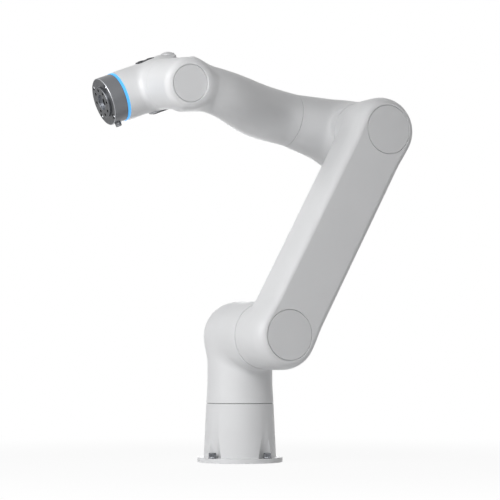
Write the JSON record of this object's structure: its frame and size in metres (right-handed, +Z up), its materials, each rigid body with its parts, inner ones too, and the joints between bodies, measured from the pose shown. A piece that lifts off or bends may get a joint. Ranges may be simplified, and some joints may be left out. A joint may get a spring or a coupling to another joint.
{
  "type": "six-axis robot arm",
  "caption": "Jointed robot arm on a round foot: turret, offset upper arm, swan-neck forearm, wrist with keys and light ring, round tool flange.",
  "frame": {"origin": "centre of the foot's underside", "axes": "+Z up along the first joint's axis, +X towards the tool side, +Y towards the side that carries the upper arm"},
  "size_m": [0.6597, 0.3005, 0.8391],
  "materials": {
    "shell_white": "satin",
    "cap_grey": "satin",
    "pale_grey": "satin",
    "dark_plastic": "satin",
    "seal_rubber": "matte",
    "flange_metal": "satin",
    "bright_steel": "polished",
    "gear_steel": "satin",
    "copper_winding": "satin",
    "circuit_board": "satin",
    "status_light": "gloss",
    "panel_metal": "satin"
  },
  "bodies": {
    "base": {"base_housing": "shell_white", "base_cover": "panel_metal", "base_bolt_1": "bright_steel", "base_bolt_2": "bright_steel", "base_bolt_3": "bright_steel", "base_bolt_4": "bright_steel", "connector_panel": "panel_metal", "j1_motor_stator": "copper_winding", "j1_circular_spline": "gear_steel", "j1_drive_board": "circuit_board", "j1_seal": "seal_rubber"},
    "turret": {"turret_housing": "shell_white", "j1_flexspline": "gear_steel", "j2_motor_stator": "copper_winding", "j2_circular_spline": "gear_steel", "j2_drive_board": "circuit_board", "j2_seal": "seal_rubber"},
    "upper_arm": {"upper_arm_housing": "shell_white", "shoulder_cap": "cap_grey", "elbow_cap": "cap_grey", "j2_flexspline": "gear_steel", "j3_motor_stator": "copper_winding", "j3_circular_spline": "gear_steel", "j3_drive_board": "circuit_board", "j3_seal": "seal_rubber"},
    "elbow": {"elbow_housing": "shell_white", "j3_flexspline": "gear_steel", "j4_motor_stator": "copper_winding", "j4_circular_spline": "gear_steel", "j4_drive_board": "circuit_board", "j4_seal": "seal_rubber"},
    "forearm": {"forearm_housing": "shell_white", "wrist_cap": "cap_grey", "j4_flexspline": "gear_steel", "j5_motor_stator": "copper_winding", "j5_circular_spline": "gear_steel", "j5_drive_board": "circuit_board", "j5_seal": "seal_rubber"},
    "wrist": {"wrist_housing": "shell_white", "button_panel": "dark_plastic", "wrist_cover": "pale_grey", "switch_bezel": "pale_grey", "light_ring": "status_light", "j5_flexspline": "gear_steel", "j6_motor_stator": "copper_winding", "j6_circular_spline": "gear_steel", "j6_drive_board": "circuit_board", "j6_seal": "seal_rubber"},
    "tool": {"tool_flange": "flange_metal", "tool_connector": "flange_metal", "j6_flexspline": "gear_steel"},
    "guide_key": {"guide_button": "pale_grey"},
    "point_key": {"point_button": "pale_grey"},
    "enable_key": {"enable_switch": "dark_plastic"},
    "rotor_1": {"j1_rotor_shaft": "bright_steel"},
    "rotor_2": {"j2_rotor_shaft": "bright_steel"},
    "rotor_3": {"j3_rotor_shaft": "bright_steel"},
    "rotor_4": {"j4_rotor_shaft": "bright_steel"},
    "rotor_5": {"j5_rotor_shaft": "bright_steel"},
    "rotor_6": {"j6_rotor_shaft": "bright_steel"}
  },
  "joints": [
    {"name": "base_turn", "type": "hinge", "parent": "base", "child": "turret", "pos_m": [0, 0, 0.1217], "axis": [0, 0, 1], "range_deg": [-185, 185]},
    {"name": "shoulder_swing", "type": "hinge", "parent": "turret", "child": "upper_arm", "pos_m": [0, 0, 0.2615], "axis": [0, 1, 0], "range_deg": [-111.04, 168.96]},
    {"name": "elbow_swing", "type": "hinge", "parent": "upper_arm", "child": "elbow", "pos_m": [-0.23648, 0, 0.68883], "axis": [0, -1, 0], "range_deg": [-40.64, 259.36]},
    {"name": "forearm_roll", "type": "hinge", "parent": "elbow", "child": "forearm", "pos_m": [-0.23782, 0.0362, 0.69672], "axis": [0.986, 0, 0.1668], "range_deg": [-172.8, 187.2]},
    {"name": "wrist_swing", "type": "hinge", "parent": "forearm", "child": "wrist", "pos_m": [0.21574, 0.0362, 0.77343], "axis": [0.0209, 0.9921, -0.1236], "range_deg": [-141, 79]},
    {"name": "tool_turn", "type": "hinge", "parent": "wrist", "child": "tool", "pos_m": [0.21574, 0.0362, 0.77343], "axis": [0.9304, -0.0646, -0.3609], "range_deg": [-220, 220]},
    {"name": "rotor_1_spin", "type": "hinge", "parent": "base", "child": "rotor_1", "pos_m": [0, 0, 0.1217], "axis": [0, 0, 1], "range_deg": [-18860, 18860]},
    {"name": "rotor_2_spin", "type": "hinge", "parent": "turret", "child": "rotor_2", "pos_m": [0, 0, 0.2615], "axis": [0, 1, 0], "range_deg": [-17256, 11464]},
    {"name": "rotor_3_spin", "type": "hinge", "parent": "upper_arm", "child": "rotor_3", "pos_m": [-0.23648, 0, 0.68883], "axis": [0, -1, 0], "range_deg": [-26296, 4424]},
    {"name": "rotor_4_spin", "type": "hinge", "parent": "elbow", "child": "rotor_4", "pos_m": [-0.23782, 0.0362, 0.69672], "axis": [0.986, 0, 0.1668], "range_deg": [-19080, 17640]},
    {"name": "rotor_5_spin", "type": "hinge", "parent": "forearm", "child": "rotor_5", "pos_m": [0.21574, 0.0362, 0.77343], "axis": [0.0209, 0.9921, -0.1236], "range_deg": [-8260, 14460]},
    {"name": "rotor_6_spin", "type": "hinge", "parent": "wrist", "child": "rotor_6", "pos_m": [0.21574, 0.0362, 0.77343], "axis": [0.9304, -0.0646, -0.3609], "range_deg": [-22360, 22360]},
    {"name": "guide_press", "type": "slide", "parent": "wrist", "child": "guide_key", "axis": [-0.366, -0.1074, -0.9244], "range_m": [0, 0.001], "stiffness_N_per_m": 1000, "springref_m": -0.0005},
    {"name": "point_press", "type": "slide", "parent": "wrist", "child": "point_key", "axis": [-0.366, -0.1074, -0.9244], "range_m": [0, 0.001], "stiffness_N_per_m": 1000, "springref_m": -0.0005},
    {"name": "enable_press", "type": "slide", "parent": "wrist", "child": "enable_key", "axis": [0.366, 0.1074, 0.9244], "range_m": [0, 0.001], "stiffness_N_per_m": 1000, "springref_m": -0.0005}
  ],
  "couplings": [
    {"joint": "rotor_1_spin", "follows": "base_turn", "ratio": -100},
    {"joint": "rotor_2_spin", "follows": "shoulder_swing", "ratio": -100},
    {"joint": "rotor_3_spin", "follows": "elbow_swing", "ratio": -100},
    {"joint": "rotor_4_spin", "follows": "forearm_roll", "ratio": -100},
    {"joint": "rotor_5_spin", "follows": "wrist_swing", "ratio": -100},
    {"joint": "rotor_6_spin", "follows": "tool_turn", "ratio": -100}
  ]
}
